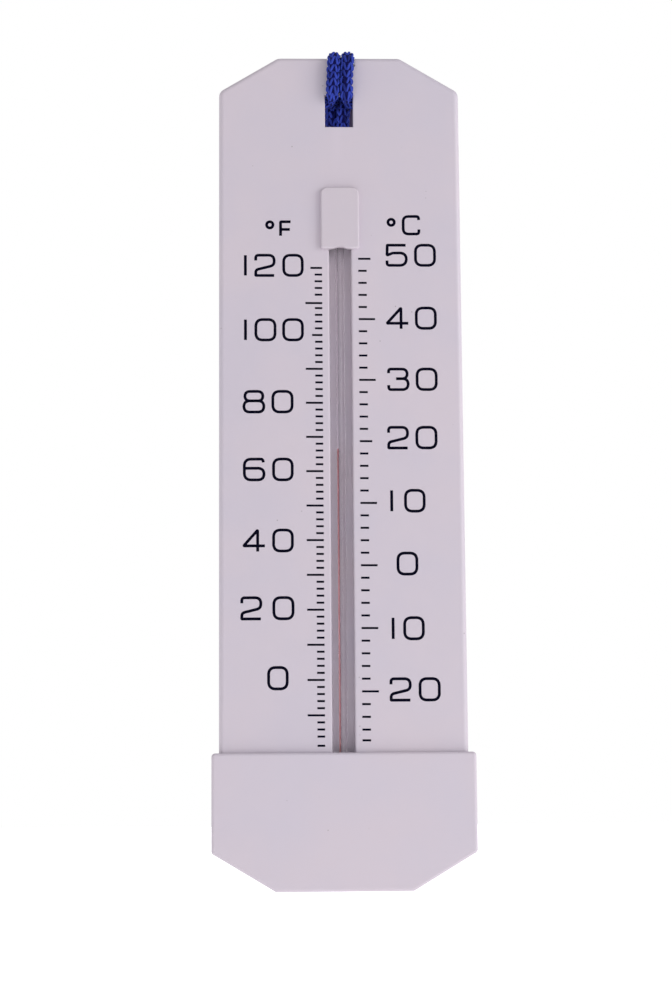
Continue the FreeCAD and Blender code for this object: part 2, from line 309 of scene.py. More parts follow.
def twistAlong(at, points, sides, thirds, spots, wales):
    # extra twist, so that a wale faces the asked way at each spot: (spot in mm, facing)
    if not spots:
        return np.zeros(len(at))
    where, amount = [], []
    for spot, facing in spots:
        i = nearestIndex(points, spot)
        where.append(at[i])
        amount.append(math.atan2(np.dot(facing, thirds[i]), np.dot(facing, sides[i])))
    order = np.argsort(where)
    where, amount = np.array(where)[order], np.array(amount)[order]
    step = 2 * math.pi / wales
    for i in range(1, len(amount)):
        amount[i] -= round((amount[i] - amount[i - 1]) / step) * step
    return np.interp(at, where, amount)


def tightAlong(at, points, pinches):
    # where it is drawn tight it is thinner: (spot, reach in mm, share of its thickness)
    tight = np.ones(len(at))
    for spot, reach, thickness in pinches:
        tight -= (1 - thickness) * np.exp(-((at - at[nearestIndex(points, spot)]) / (reach * mm)) ** 4)
    return tight


def knitTube(name, line, style, diameter, twistAt=(), pinches=()):
    # a knitted tube along a line: a plain core with two legs for each stitch of each wale
    at, points = evenLine(line, style["sampleStep"] * mm)
    sides, thirds = carriedFrames(points, (0, -1, 0))
    share = diameter / style["diameter"]
    radius = diameter / 2 * mm
    wales = style["wales"]
    twist = twistAlong(at, points, sides, thirds, twistAt, wales)
    tight = tightAlong(at, points, pinches)

    def place(across, along, out):
        i = np.clip(along / at[-1] * (len(at) - 1), 0, len(at) - 1)
        low = np.clip(i.astype(int), 0, len(at) - 2)
        part = (i - low)[:, None]
        mixed = [a[low] * (1 - part) + a[low + 1] * part for a in (points, sides, thirds)]
        turn = across / radius + twist[low]
        ring = mixed[1] * np.cos(turn)[:, None] + mixed[2] * np.sin(turn)[:, None]
        offset = ring * ((radius + out) * tight[low])[:, None]
        return mixed[0] + offset * style["flattened"]

    leg, legFaces, legUvs = stitchLeg(style)
    leg = leg * share * mm
    pitch = style["stitch"] * share * mm
    rng = np.random.default_rng(style["seed"])
    widthSpread, placeSpread, heightSpread = style["uneven"]
    legTone, toneSpread = style["legTone"]
    allPoints, allFaces, allUvs, tones = [], [], [], []
    count = 0
    courses = int((at[-1] - style["legLength"] * pitch) / pitch)
    for course in range(courses + 1):
        for wale in range(wales):
            for side in (-1, 1):
                wobble = rng.normal(0, 1, 4)
                across = side * leg[:, 0] * (1 + widthSpread * wobble[0])
                across = across + wale * 2 * math.pi * radius / wales
                along = leg[:, 1] + (course + placeSpread * wobble[1]) * pitch
                out = leg[:, 2] + heightSpread * mm * share * wobble[2]
                allPoints.append(place(across, np.clip(along, 0, at[-1]), out))
                # the tube's frame is left-handed seen from outside, so one side's faces are turned over
                flip = side == 1
                for face in legFaces:
                    face = tuple(count + v for v in face)
                    allFaces.append(face[::-1] if flip else face)
                start = 0
                for face in legFaces:
                    corner = legUvs[start:start + len(face)]
                    start += len(face)
                    allUvs += corner[::-1] if flip else corner
                tones += [legTone + toneSpread * wobble[3]] * len(leg)
                count += len(leg)
    # core, coloured dark navy as painted shade between the stitches
    rings, around = int(at[-1] / (style["coreStep"] * mm)), style["coreSides"]
    alongCore = np.repeat(np.linspace(0, at[-1], rings), around)
    turns = np.tile(np.arange(around) * 2 * math.pi * radius / around, rings)
    allPoints.append(place(turns, alongCore, np.full(len(turns), (style["coreShare"] - 1) * radius)))
    for i in range(rings - 1):
        for k in range(around):
            n = (k + 1) % around
            a, b, c, d = i * around + k, i * around + n, (i + 1) * around + n, (i + 1) * around + k
            allFaces.append((count + a, count + b, count + c, count + d))
            u0, u1 = k / around, (k + 1) / around
            allUvs += [(u0, i), (u1, i), (u1, i + 1), (u0, i + 1)]
    allFaces += [tuple(count + k for k in range(around))[::-1],
                 tuple(count + (rings - 1) * around + k for k in range(around))]
    allUvs += [(0, 0)] * 2 * around
    tones += [style["corePaintedShade"]] * (rings * around)
    piece = meshPiece(name, np.vstack(allPoints), allFaces, allUvs)
    tone = piece.data.attributes.new("tone", "FLOAT", "POINT")
    tone.data.foreach_set("value", np.array(tones, np.float32))
    shadeSmooth(piece)
    piece.data.update()
    return piece


cordLine = splineLine(cordRoute, "cordLine")
cordLength = float(np.linalg.norm(np.diff(cordLine, axis=0), axis=1).sum())
toFront = (0, -1, 0)
cord = knitTube("hang_cord_knit", cordLine, cordStyle, cordStyle["diameter"], twistAt=[
    ((1.3, -6.2, -6.6), toFront), ((2.2, -12.0, 4.0), toFront),
    ((-1.8, -12.0, 4.0), toFront), ((-1.9, -4.4, -6.6), toFront),
], pinches=[((2.5, -9.0, -1.3), 2.0, 0.62), ((-2.2, -9.0, -1.3), 2.0, 0.62)])
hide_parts("hang_cord")
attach(cord, "root")

knotStyle = dict(cordStyle, seed=11)
knotParts = [
    knitTube(f"knotStrand{i}", splineLine(route, f"knotLine{i}"), knotStyle, knotStyle["knotStrand"])
    for i, route in enumerate(knotRoutes)
]
knot = joinPieces("cord_knot_knit", knotParts)
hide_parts("cord_knot")
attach(knot, "root")
print(f"cord: line {cordLength * 1000:.1f} mm, {len(cord.data.polygons)} faces")


# shader groups

def addNode(tree, kind, place, **settings):
    node = tree.nodes.new(kind)
    node.location = place
    for key, value in settings.items():
        setattr(node, key, value)
    return node


def rangeNode(tree, place, source, target=(0, 1), **settings):
    node = addNode(tree, "ShaderNodeMapRange", place, **settings)
    node.inputs["From Min"].default_value, node.inputs["From Max"].default_value = source
    node.inputs["To Min"].default_value, node.inputs["To Max"].default_value = target
    return node


def noiseNode(tree, place, scale, detail=2, **settings):
    node = addNode(tree, "ShaderNodeTexNoise", place, **settings)
    node.inputs["Scale"].default_value, node.inputs["Detail"].default_value = scale, detail
    return node


def bumpNode(tree, place, distance, strength=1):
    node = addNode(tree, "ShaderNodeBump", place)
    node.inputs["Distance"].default_value, node.inputs["Strength"].default_value = distance, strength
    return node


def tonesNode(tree, place, toneA=None, toneB=None):
    node = addNode(tree, "ShaderNodeMix", place, data_type="RGBA")
    for label, tone in (("A", toneA), ("B", toneB)):
        if tone:
            node.inputs[label].default_value = tone
    return node


def newGroup(name, inputs, outputs):
    group = bpy.data.node_groups.new(name, "ShaderNodeTree")
    for label, kind, value in inputs:
        socket = group.interface.new_socket(label, in_out="INPUT", socket_type=kind)
        if value is not None:
            socket.default_value = value
    for label, kind in outputs:
        group.interface.new_socket(label, in_out="OUTPUT", socket_type=kind)
    return group, addNode(group, "NodeGroupInput", (-900, 0)), addNode(group, "NodeGroupOutput", (700, 0))


def makeEdgeWearGroup():
    # a mask that is bright on outside edges, broken up by noise
    group, src, out = newGroup("edgeWear", [
        ("Width", "NodeSocketFloat", 0.0006),
        ("Break Scale", "NodeSocketFloat", 300.0),
        ("Amount", "NodeSocketFloat", 1.0),
    ], [("Mask", "NodeSocketFloat")])
    link = group.links.new
    place = addNode(group, "ShaderNodeTexCoord", (-900, -260))
    bevel = addNode(group, "ShaderNodeBevel", (-640, 120), samples=4)
    geometry = addNode(group, "ShaderNodeNewGeometry", (-640, -60))
    dot = addNode(group, "ShaderNodeVectorMath", (-420, 60), operation="DOT_PRODUCT")
    edge = rangeNode(group, (-220, 60), (0.995, 0.86))
    noise = noiseNode(group, (-420, -220), 300, 3)
    broken = rangeNode(group, (-220, -220), (0.35, 0.7))
    both = addNode(group, "ShaderNodeMath", (0, 0), operation="MULTIPLY")
    scaled = addNode(group, "ShaderNodeMath", (200, 0), operation="MULTIPLY", use_clamp=True)
    link(src.outputs["Width"], bevel.inputs["Radius"])
    link(bevel.outputs["Normal"], dot.inputs[0])
    link(geometry.outputs["Normal"], dot.inputs[1])
    link(dot.outputs["Value"], edge.inputs["Value"])
    link(place.outputs["Object"], noise.inputs["Vector"])
    link(src.outputs["Break Scale"], noise.inputs["Scale"])
    link(noise.outputs["Fac"], broken.inputs["Value"])
    link(edge.outputs["Result"], both.inputs[0])
    link(broken.outputs["Result"], both.inputs[1])
    link(both.outputs["Value"], scaled.inputs[0])
    link(src.outputs["Amount"], scaled.inputs[1])
    link(scaled.outputs["Value"], out.inputs["Mask"])
    return group


def makeMouldedGroup():
    # moulded plastic: two near tones in soft clouds, specks of dirt, a fine grain and long scuffs
    group, src, out = newGroup("mouldedPlastic", [
        ("Tone A", "NodeSocketColor", (0.6, 0.6, 0.6, 1)),
        ("Tone B", "NodeSocketColor", (0.6, 0.6, 0.6, 1)),
        ("Dirt", "NodeSocketColor", (0.1, 0.08, 0.07, 1)),
        ("Dirt Amount", "NodeSocketFloat", 0.5),
        ("Roughness", "NodeSocketFloat", 0.4),
        ("Grain", "NodeSocketFloat", 0.12),
    ], [("Color", "NodeSocketColor"), ("Roughness", "NodeSocketFloat"), ("Normal", "NodeSocketVector")])
    link = group.links.new
    place = addNode(group, "ShaderNodeTexCoord", (-1300, 0))
    clouds = noiseNode(group, (-700, 300), 42, 3)
    tone = rangeNode(group, (-500, 300), (0.35, 0.65))
    base = tonesNode(group, (-300, 300))
    # specks: small cells, few of them dark
    cells = addNode(group, "ShaderNodeTexVoronoi", (-700, 40))
    cells.inputs["Scale"].default_value, cells.inputs["Randomness"].default_value = 420, 1
    spot = rangeNode(group, (-500, 60), (0.10, 0.05))
    chance = rangeNode(group, (-500, -120), (0.93, 0.95))
    channel = addNode(group, "ShaderNodeSeparateColor", (-600, -40))
    specks = addNode(group, "ShaderNodeMath", (-300, 0), operation="MULTIPLY")
    dirty = addNode(group, "ShaderNodeMath", (-140, 0), operation="MULTIPLY", use_clamp=True)
    mixed = tonesNode(group, (60, 200))
    # scuffs: noise drawn out along the plate
    stretch = addNode(group, "ShaderNodeMapping", (-1000, -300))
    stretch.inputs["Scale"].default_value = (900, 900, 60)
    scuff = noiseNode(group, (-700, -320), 1, 4)
    rough = rangeNode(group, (-480, -320), (0.3, 0.75), (-0.06, 0.1))
    roughSum = addNode(group, "ShaderNodeMath", (-200, -320), operation="ADD", use_clamp=True)
    # grain: the texture of the mould
    grain = noiseNode(group, (-700, -580), 2600, 2)
    waves = noiseNode(group, (-700, -780), 95, 1)
    fine = bumpNode(group, (-200, -600), 0.00004)
    broad = bumpNode(group, (0, -760), 0.0006, 0.10)
    for node in (clouds, cells, grain, waves, stretch):
        link(place.outputs["Object"], node.inputs["Vector"])
    link(clouds.outputs["Fac"], tone.inputs["Value"])
    link(tone.outputs["Result"], base.inputs["Factor"])
    link(src.outputs["Tone A"], base.inputs["A"])
    link(src.outputs["Tone B"], base.inputs["B"])
    link(cells.outputs["Distance"], spot.inputs["Value"])
    link(cells.outputs["Color"], channel.inputs["Color"])
    link(channel.outputs["Red"], chance.inputs["Value"])
    link(spot.outputs["Result"], specks.inputs[0])
    link(chance.outputs["Result"], specks.inputs[1])
    link(specks.outputs["Value"], dirty.inputs[0])
    link(src.outputs["Dirt Amount"], dirty.inputs[1])
    link(dirty.outputs["Value"], mixed.inputs["Factor"])
    link(base.outputs["Result"], mixed.inputs["A"])
    link(src.outputs["Dirt"], mixed.inputs["B"])
    link(mixed.outputs["Result"], out.inputs["Color"])
    link(stretch.outputs["Vector"], scuff.inputs["Vector"])
    link(scuff.outputs["Fac"], rough.inputs["Value"])
    link(rough.outputs["Result"], roughSum.inputs[0])
    link(src.outputs["Roughness"], roughSum.inputs[1])
    link(roughSum.outputs["Value"], out.inputs["Roughness"])
    link(grain.outputs["Fac"], fine.inputs["Height"])
    link(src.outputs["Grain"], fine.inputs["Strength"])
    link(waves.outputs["Fac"], broad.inputs["Height"])
    link(fine.outputs["Normal"], broad.inputs["Normal"])
    link(broad.outputs["Normal"], out.inputs["Normal"])
    return group


edgeWear = makeEdgeWearGroup()
moulded = makeMouldedGroup()


def newMaterial(name):
    material = bpy.data.materials.new(name)
    material.use_nodes = True
    tree = material.node_tree
    tree.nodes.clear()
    shader = addNode(tree, "ShaderNodeBsdfPrincipled", (300, 0))
    output = addNode(tree, "ShaderNodeOutputMaterial", (760, 0), name="output")
    tree.links.new(shader.outputs["BSDF"], output.inputs["Surface"])
    return material, tree, shader


def clearWhere(tree, shader, mask):
    # lets everything through where the mask is 1
    clear = addNode(tree, "ShaderNodeBsdfTransparent", (300, 240))
    both = addNode(tree, "ShaderNodeMixShader", (520, 120))
    tree.links.new(mask, both.inputs["Fac"])
    tree.links.new(shader.outputs["BSDF"], both.inputs[1])
    tree.links.new(clear.outputs["BSDF"], both.inputs[2])
    tree.links.new(both.outputs["Shader"], tree.nodes["output"].inputs["Surface"])


def groupNode(tree, group, place, **values):
    node = addNode(tree, "ShaderNodeGroup", place, node_tree=group)
    for label, value in values.items():
        node.inputs[label.replace("_", " ")].default_value = value
    return node


def srgb(r, g, b):
    def linear(c):
        c /= 255
        return c / 12.92 if c <= 0.04045 else ((c + 0.055) / 1.055) ** 2.4
    return (linear(r), linear(g), linear(b), 1)


# plastic finishes

plasticLooks = {
    "plate_plastic": {
        "toneA": srgb(217, 206, 216), "toneB": srgb(213, 204, 216), "roughness": 0.42,
        "grain": 0.14, "dirt": 0.5, "wear": 0.35, "flowLine": 0.2,
    },
    "cover_plastic": {
        "toneA": srgb(217, 206, 216), "toneB": srgb(214, 205, 217), "roughness": 0.40,
        "grain": 0.14, "dirt": 0.4, "wear": 0.4,
    },
    "clip_plastic": {
        "toneA": srgb(215, 204, 213), "toneB": srgb(213, 203, 213), "roughness": 0.34,
        "grain": 0.08, "dirt": 0.2, "wear": 0.5,
    },
}


def plasticMaterial(name, look):
    material, tree, shader = newMaterial(name)
    link = tree.links.new
    surface = groupNode(tree, moulded, (-500, 0), Tone_A=look["toneA"], Tone_B=look["toneB"],
                        Dirt=srgb(92, 78, 70), Dirt_Amount=look["dirt"], Roughness=look["roughness"],
                        Grain=look["grain"])
    wear = groupNode(tree, edgeWear, (-500, -320), Width=0.0006, Break_Scale=260, Amount=look["wear"])
    worn = tonesNode(tree, (0, 120), toneB=srgb(232, 226, 232))
    link(wear.outputs["Mask"], worn.inputs["Factor"])
    colour = surface.outputs["Color"]
    if "flowLine" in look:
        # the faint line where the plastic met below the slot when it was moulded
        place = addNode(tree, "ShaderNodeTexCoord", (-1100, 500))
        split = addNode(tree, "ShaderNodeSeparateXYZ", (-900, 500))
        wander = noiseNode(tree, (-900, 700), 60)
        shift = addNode(tree, "ShaderNodeMath", (-700, 600), operation="MULTIPLY_ADD")
        shift.inputs[1].default_value = 0.002
        near = addNode(tree, "ShaderNodeMath", (-520, 560), operation="ABSOLUTE")
        line = rangeNode(tree, (-340, 560), (0.0022, 0.0004))
        high = rangeNode(tree, (-340, 760), (-0.032, -0.012))
        both = addNode(tree, "ShaderNodeMath", (-160, 620), operation="MULTIPLY")
        faint = addNode(tree, "ShaderNodeMath", (0, 620), operation="MULTIPLY")
        faint.inputs[1].default_value = look["flowLine"]
        tint = tonesNode(tree, (-160, 260), toneB=srgb(226, 214, 226))
        link(place.outputs["Object"], split.inputs["Vector"])
        link(place.outputs["Object"], wander.inputs["Vector"])
        link(wander.outputs["Fac"], shift.inputs[0])
        link(split.outputs["X"], shift.inputs[2])
        link(shift.outputs["Value"], near.inputs[0])
        link(near.outputs["Value"], line.inputs["Value"])
        link(split.outputs["Z"], high.inputs["Value"])
        link(line.outputs["Result"], both.inputs[0])
        link(high.outputs["Result"], both.inputs[1])
        link(both.outputs["Value"], faint.inputs[0])
        link(faint.outputs["Value"], tint.inputs["Factor"])
        link(colour, tint.inputs["A"])
        colour = tint.outputs["Result"]
    link(colour, worn.inputs["A"])
    link(worn.outputs["Result"], shader.inputs["Base Color"])
    link(surface.outputs["Roughness"], shader.inputs["Roughness"])
    link(surface.outputs["Normal"], shader.inputs["Normal"])
    shader.inputs["IOR"].default_value = 1.49
    return material


def dress(obj, material):
    obj.data.materials.clear()
    obj.data.materials.append(material)


finishes = {name: plasticMaterial(name + "_look", look) for name, look in plasticLooks.items()}
for node, finish in (("scale_plate", "plate_plastic"), ("bulb_cover", "cover_plastic"),
                     ("tube_clip", "clip_plastic")):
    dress(nodes[node], finishes[finish])
print("plastic finishes made")


# cord's finish

cordLook = {
    "bright": srgb(70, 92, 204),
    "middle": srgb(28, 40, 150),
    "deep": srgb(2, 3, 74),  # painted shade: the core's dark navy, seen between the stitches where shade falls
    "roughness": 0.62,
    "specular": 0.12,
    "sheen": 0.04,
}


def cordMaterial(name, look):
    material, tree, shader = newMaterial(name)
    link = tree.links.new
    yarn = addNode(tree, "ShaderNodeUVMap", (-1300, 0), uv_map="yarn")
    tone = addNode(tree, "ShaderNodeAttribute", (-900, 400), attribute_name="tone")
    # fine filaments that run along each leg of a stitch
    stretch = addNode(tree, "ShaderNodeMapping", (-1100, 0))
    stretch.inputs["Scale"].default_value = (26, 1.6, 1)
    strands = noiseNode(tree, (-900, 0), 1, 2, noise_dimensions="2D")
    lift = rangeNode(tree, (-700, 0), (0.3, 0.7))
    first = tonesNode(tree, (-400, 200), look["middle"], look["bright"])
    # painted shade: a low tone mixes in the dark navy, fully on the core between the stitches; the legs'
    # tones vary at random
    second = tonesNode(tree, (-150, 200), toneA=look["deep"])
    depth = rangeNode(tree, (-400, 420), (0.12, 0.5))
    bump = bumpNode(tree, (0, -260), 0.00008, 0.55)
    link(yarn.outputs["UV"], stretch.inputs["Vector"])
    link(stretch.outputs["Vector"], strands.inputs["Vector"])
    link(strands.outputs["Fac"], lift.inputs["Value"])
    link(lift.outputs["Result"], first.inputs["Factor"])
    link(tone.outputs["Fac"], depth.inputs["Value"])
    link(depth.outputs["Result"], second.inputs["Factor"])
    link(first.outputs["Result"], second.inputs["B"])
    link(second.outputs["Result"], shader.inputs["Base Color"])
    link(strands.outputs["Fac"], bump.inputs["Height"])
    link(bump.outputs["Normal"], shader.inputs["Normal"])
    shader.inputs["Roughness"].default_value = look["roughness"]
    shader.inputs["Specular IOR Level"].default_value = look["specular"]
    shader.inputs["Sheen Weight"].default_value = look["sheen"]
    return material


cordFinish = cordMaterial("blue_cord_look", cordLook)
for piece in (cord, knot):
    dress(piece, cordFinish)


# glass tube and its spirit

tubeStyle = {
    "turns": 48,
    "radius": 2.25,  # mm, like all that follow
    "bore": 0.30,
    "column": 0.27,
    "chamber": 1.1,
    "bulb": 2.7,
    "bulbHollow": 2.0,
}


def spun(name, profile, axisX, axisY, turns):
    # an outline of (radius, z) in mm, spun about the tube's own line
    points = [((axisX + r) * mm, axisY * mm, z * mm) for r, z in profile]
    mesh = bpy.data.meshes.new(name)
    mesh.from_pydata(points, [(i, i + 1) for i in range(len(points) - 1)], [])
    obj = bpy.data.objects.new(name, mesh)
    scene.collection.objects.link(obj)
    activate(obj)
    bpy.ops.object.mode_set(mode="EDIT")
    bpy.ops.mesh.select_all(action="SELECT")
    bpy.ops.mesh.spin(steps=turns, angle=2 * math.pi, center=(axisX * mm, axisY * mm, 0), axis=(0, 0, 1))
    bpy.ops.mesh.select_all(action="SELECT")
    bpy.ops.mesh.remove_doubles(threshold=0.000002)
    bpy.ops.mesh.normals_make_consistent(inside=False)
    bpy.ops.object.mode_set(mode="OBJECT")
    return obj


def softened(profile):
    # the corners of an outline rounded by cutting them twice
    for _ in range(2):
        cut = [profile[0]]
        for a, b in zip(profile[:-1], profile[1:]):
            cut.append((a[0] * 0.75 + b[0] * 0.25, a[1] * 0.75 + b[1] * 0.25))
            cut.append((a[0] * 0.25 + b[0] * 0.75, a[1] * 0.25 + b[1] * 0.75))
        cut.append(profile[-1])
        profile = cut
    return profile


low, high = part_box("glass_tube")
spiritLow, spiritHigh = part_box("spirit_column")
axisX = (spiritLow.x + spiritHigh.x) / 2 / mm
axisY = (spiritLow.y + spiritHigh.y) / 2 / mm
tubeTop, tubeFoot = high.z / mm, low.z / mm
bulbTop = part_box("bulb_spirit")[1].z / mm + 0.9
radius, bulb = tubeStyle["radius"], tubeStyle["bulb"]
outside = [
    (0, tubeTop), (1.2, tubeTop), (radius, tubeTop - 0.7), (radius, tubeTop - 3.0), (radius, bulbTop + 4.0),
    (radius, bulbTop + 1.2), (bulb, bulbTop - 0.6), (bulb, bulbTop - 3.0), (bulb, tubeFoot + 4.0),
    (bulb, tubeFoot + 1.2), (1.5, tubeFoot), (0, tubeFoot),
]
bore, chamber, room = tubeStyle["bore"], tubeStyle["chamber"], tubeStyle["bulbHollow"]
inside = [
    (0, tubeTop - 2.2), (0.7, tubeTop - 2.3), (chamber, tubeTop - 3.2), (chamber, tubeTop - 5.0),
    (bore, tubeTop - 7.2), (bore, tubeTop - 8.6), (bore, bulbTop + 0.4), (bore + 0.1, bulbTop - 0.6),
    (1.9, bulbTop - 1.9), (room, bulbTop - 3.4), (room, tubeFoot + 3.2), (1.6, tubeFoot + 1.2),
    (0, tubeFoot + 0.7),
]
tube = spun("glass_tube_drawn", softened(outside), axisX, axisY, tubeStyle["turns"])
hollow = spun("tubeHollow", softened(inside), axisX, axisY, 24)
activate(hollow)
bpy.ops.object.mode_set(mode="EDIT")
bpy.ops.mesh.select_all(action="SELECT")
bpy.ops.mesh.flip_normals()
bpy.ops.object.mode_set(mode="OBJECT")
tube = joinPieces("glass_tube_drawn", [tube, hollow])
shadeSmooth(tube)
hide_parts("glass_tube")
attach(tube, "root")


glassLook = {
    "ior": 1.3,
    "tintA": srgb(255, 253, 254),
    "tintB": srgb(249, 246, 249),
    "haze": (0.0, 0.18),  # roughness where clean and where dusty
}


def glassMaterial(name, look):
    material, tree, shader = newMaterial(name)
    link = tree.links.new
    shader.inputs["Transmission Weight"].default_value = 1
    shader.inputs["IOR"].default_value = look["ior"]
    place = addNode(tree, "ShaderNodeTexCoord", (-1100, 0))
    stretch = addNode(tree, "ShaderNodeMapping", (-900, 0))
    stretch.inputs["Scale"].default_value = (700, 700, 40)
    draw = noiseNode(tree, (-700, 0), 1)
    dust = noiseNode(tree, (-700, -260), 900, 4)
    haze = rangeNode(tree, (-450, -260), (0.5, 0.8), look["haze"])
    tint = tonesNode(tree, (-200, 200), look["tintA"], look["tintB"])
    bump = bumpNode(tree, (0, -200), 0.00006, 0.15)
    link(place.outputs["Object"], stretch.inputs["Vector"])
    link(place.outputs["Object"], dust.inputs["Vector"])
    link(stretch.outputs["Vector"], draw.inputs["Vector"])
    link(draw.outputs["Fac"], bump.inputs["Height"])
    link(draw.outputs["Fac"], tint.inputs["Factor"])
    link(dust.outputs["Fac"], haze.inputs["Value"])
    link(haze.outputs["Result"], shader.inputs["Roughness"])
    link(tint.outputs["Result"], shader.inputs["Base Color"])
    link(bump.outputs["Normal"], shader.inputs["Normal"])
    # lamps shine through the glass onto what is behind it
    path = addNode(tree, "ShaderNodeLightPath", (100, 420))
    clearWhere(tree, shader, path.outputs["Is Shadow Ray"])
    return material


# the thread's two tones are painted light: a pale painted highlight down its left side, the dye's red in
# painted shade down its right
spiritLook = {
    "threadPaintedHighlight": srgb(236, 168, 170),
    "threadDyePaintedShade": srgb(118, 42, 58),
    "threadFade": 1.4,  # width of the change between them, in the column's radii
    "bulbA": srgb(150, 24, 40),
    "bulbB": srgb(176, 44, 56),
}


def spiritMaterial(name, toneA, toneB, width=0.0):
    material, tree, shader = newMaterial(name)
    link = tree.links.new
    place = addNode(tree, "ShaderNodeTexCoord", (-900, 0))
    cloud = noiseNode(tree, (-700, 0), 500)
    shade = tonesNode(tree, (-300, 0), toneA, toneB)
    link(place.outputs["Object"], cloud.inputs["Vector"])
    link(cloud.outputs["Fac"], shade.inputs["Factor"])
    link(shade.outputs["Result"], shader.inputs["Base Color"])
    shader.inputs["Roughness"].default_value = 0.25
    if width:  # painted highlight down its left side and painted shade down its right, by the x position
        apart = addNode(tree, "ShaderNodeSeparateXYZ", (-700, 260))
        edges = ((axisX - width / 2) * mm, (axisX + width / 2) * mm)
        across = rangeNode(tree, (-500, 260), edges, interpolation_type="SMOOTHSTEP")
        link(place.outputs["Object"], apart.inputs["Vector"])
        link(apart.outputs["X"], across.inputs["Value"])
        link(across.outputs["Result"], shade.inputs["Factor"])
    return material


dress(tube, glassMaterial("tube_glass_look", glassLook))
# the thread's material holds its painted highlight and painted shade
spirit = spiritMaterial("red_spirit_painted_light_look", spiritLook["threadPaintedHighlight"], spiritLook["threadDyePaintedShade"],
                        tubeStyle["column"] * spiritLook["threadFade"])
dress(nodes["bulb_spirit"], spiritMaterial("red_spirit_deep_look", spiritLook["bulbA"], spiritLook["bulbB"]))

# the column has points only at its two ends, so that it draws out with the level
columnFoot = spiritLow.z / mm
columnTop = spiritHigh.z / mm
r = tubeStyle["column"]
columnTurns = 16
column = spun("spirit_column_thread", [(0, columnFoot), (r, columnFoot), (r, columnTop), (0, columnTop)],
              axisX, axisY, columnTurns)
shadeSmooth(column)
dress(column, spirit)
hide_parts("spirit_column")
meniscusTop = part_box("spirit_meniscus")[1].z / mm
meniscus = spun("spirit_meniscus_cup", [
    (0, columnTop), (r, columnTop), (r, meniscusTop), (r * 0.86, meniscusTop - 0.03),
    (r * 0.6, meniscusTop - 0.09), (r * 0.3, meniscusTop - 0.12), (0, meniscusTop - 0.13),
], axisX, axisY, columnTurns)
shadeSmooth(meniscus)
dress(meniscus, spirit)
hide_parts("spirit_meniscus")
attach(meniscus, "spirit_thread")
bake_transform(column)
print("glass and spirit made")


# rubber pads

rubberLook = {
    "Tone_A": srgb(70, 68, 72),
    "Tone_B": srgb(58, 56, 60),
    "Dirt": srgb(150, 140, 140),
    "Dirt_Amount": 0.4,
    "Roughness": 0.75,
    "Grain": 0.5,
}


def rubberMaterial(name, look):
    material, tree, shader = newMaterial(name)
    surface = groupNode(tree, moulded, (-500, 0), **look)
    for label, socket in (("Color", "Base Color"), ("Roughness", "Roughness"), ("Normal", "Normal")):
        tree.links.new(surface.outputs[label], shader.inputs[socket])
    return material


rubber = rubberMaterial("pad_rubber_look", rubberLook)
for pad in ("clip_pad", "neck_pad"):
    dress(nodes[pad], rubber)
print("pads made")


# printed scales

printStyle = {
    "stroke": 0.87,  # mm, of a numeral
    "tickStroke": 0.63,
    "rise": 0.05,  # how far the ink stands up
    "corner": 1.9,
    "height": 7.1,
    "letterCorner": 1.5,
    "ring": 1.4,  # outer radius of the degree sign
    "tickStart": 5.45,  # from the middle of the plate
    "tickSlope": 0.006,  # the print is a hair out of level
}

# one side each: heights of zero and of one degree in mm, marks from the top down, lengths of the
# marks, those of another length, and those printed a little high or low
tickTables = {
    "celsius": {
        "side": 1, "zero": -143.83, "degree": 1.853, "marks": range(50, -29, -2),
        "long": 4.92, "short": 2.5, "odd": {50: 3.7, 20: 3.7}, "shift": {-28: 0.6},
    },
    "fahrenheit": {
        "side": -1, "zero": -177.47, "degree": 1.029, "marks": range(120, -19, -2),
        "long": 5.05, "short": 2.22, "odd": {120: 3.5, 100: 3.1}, "shift": {110: -0.5, -18: -0.6},
    },
}
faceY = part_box("scale_plate")[0].y / mm

# left, right and middle height of each numeral, mm
celsiusNumerals = [
    ("5", 13.7, 20.4, -50.1), ("0", 22.3, 28.9, -50.1),
    ("4", 13.5, 20.75, -69.45), ("0", 22.3, 28.9, -69.45),
    ("3", 13.8, 20.5, -88.1), ("0", 22.3, 28.9, -88.1),
    ("2", 13.6, 20.1, -105.75), ("0", 22.0, 28.6, -105.75),
    ("1", 14.3, 15.2, -124.7), ("0", 18.4, 24.8, -124.7),
    ("0", 15.95, 22.4, -143.4),
    ("1", 14.3, 15.2, -162.5), ("0", 17.7, 24.05, -162.5),
    ("2", 13.5, 20.0, -180.4), ("0", 22.0, 28.5, -180.4),
]
fahrenheitNumerals = [
    ("1", -28.9, -28.1, -53.2), ("2", -25.8, -19.4, -53.2), ("0", -17.4, -10.95, -53.2),
    ("1", -28.9, -28.1, -72.95), ("0", -25.8, -19.2, -72.95), ("0", -17.5, -11.0, -72.95),
    ("8", -29.4, -22.6, -94.8), ("0", -20.8, -14.2, -94.8),
    ("6", -29.3, -22.6, -115.2), ("0", -20.65, -14.25, -115.2),
    ("4", -29.55, -22.4, -136.4), ("0", -20.7, -14.3, -136.4),
    ("2", -30.1, -23.65, -156.4), ("0", -20.7, -14.2, -156.4),
    ("0", -22.3, -16.0, -176.9),
]


